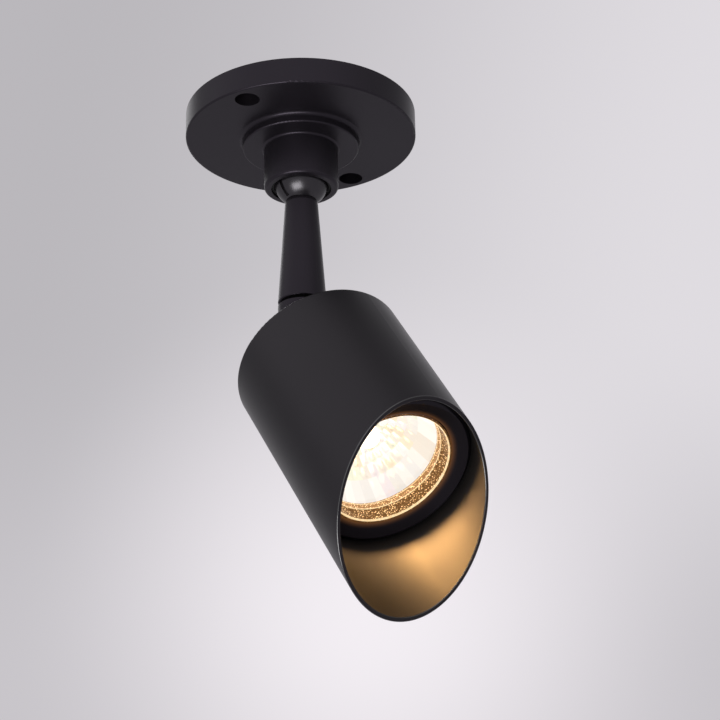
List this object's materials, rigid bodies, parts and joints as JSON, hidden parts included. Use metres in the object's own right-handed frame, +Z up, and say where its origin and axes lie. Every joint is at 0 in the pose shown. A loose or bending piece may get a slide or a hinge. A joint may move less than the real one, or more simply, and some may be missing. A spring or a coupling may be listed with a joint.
{
  "type": "ceiling spotlight",
  "caption": "Ceiling spotlight: round plate with a ball joint, tapered rod, swivelling fork and a tilting cylindrical head with a slanted mouth round a reflector lamp.",
  "frame": {"origin": "centre of the ceiling plate's mounting face", "axes": "+Z up into the ceiling, +X the way the beam leans at rest, +Y along the head's tilt axis"},
  "size_m": [0.1262, 0.095, 0.2277],
  "materials": {
    "black_coat": "matte",
    "ball_black": "satin",
    "ring_black": "matte",
    "bush_black": "matte",
    "steel": "satin",
    "brass": "satin",
    "terminal_white": "satin",
    "ceramic_white": "matte",
    "grommet_rubber": "matte",
    "reflector_glass": "polished",
    "burner_glass": "satin",
    "front_glass": "gloss"
  },
  "bodies": {
    "base": {"canopy": "black_coat", "seat_bush": "bush_black", "pressure_cup": "bush_black", "disc_springs": "steel", "retaining_ring": "brass", "terminal_block": "terminal_white", "terminal_screw": "steel", "earth_screw": "brass"},
    "guide": {"guide_pin": "steel"},
    "rod": {"ball": "ball_black", "arm": "black_coat", "swivel_stud": "brass"},
    "swivel": {"swivel_washer": "bush_black", "wave_washer": "steel", "fork": "black_coat", "pivot_screw": "steel", "pivot_nut": "steel", "friction_washers": "bush_black"},
    "head": {"hinge_lug": "black_coat", "lug_screws": "steel", "housing": "black_coat", "cable_grommet": "grommet_rubber", "holder_bracket": "steel", "bracket_screws": "steel", "lampholder": "ceramic_white", "holder_screws": "steel", "lamp_base": "ceramic_white", "lamp_pins": "steel", "lamp_reflector": "reflector_glass", "lamp_burner": "burner_glass", "lamp_glass": "front_glass", "baffle_ring": "ring_black"}
  },
  "joints": [
    {"name": "ball_roll", "type": "hinge", "parent": "base", "child": "guide", "pos_m": [0, 0, -0.0296], "axis": [0, 1, 0], "range_deg": [-25, 25]},
    {"name": "ball_tilt", "type": "hinge", "parent": "guide", "child": "rod", "pos_m": [0, 0, -0.0296], "axis": [1, 0, 0], "range_deg": [-25, 25]},
    {"name": "rod_swivel", "type": "hinge", "parent": "rod", "child": "swivel", "pos_m": [0, 0, -0.08525], "axis": [0, 0, 1], "range_deg": [-175, 175]},
    {"name": "head_tilt", "type": "hinge", "parent": "swivel", "child": "head", "pos_m": [0, 0, -0.09895], "axis": [0, -1, 0], "range_deg": [-35, 55]}
  ]
}
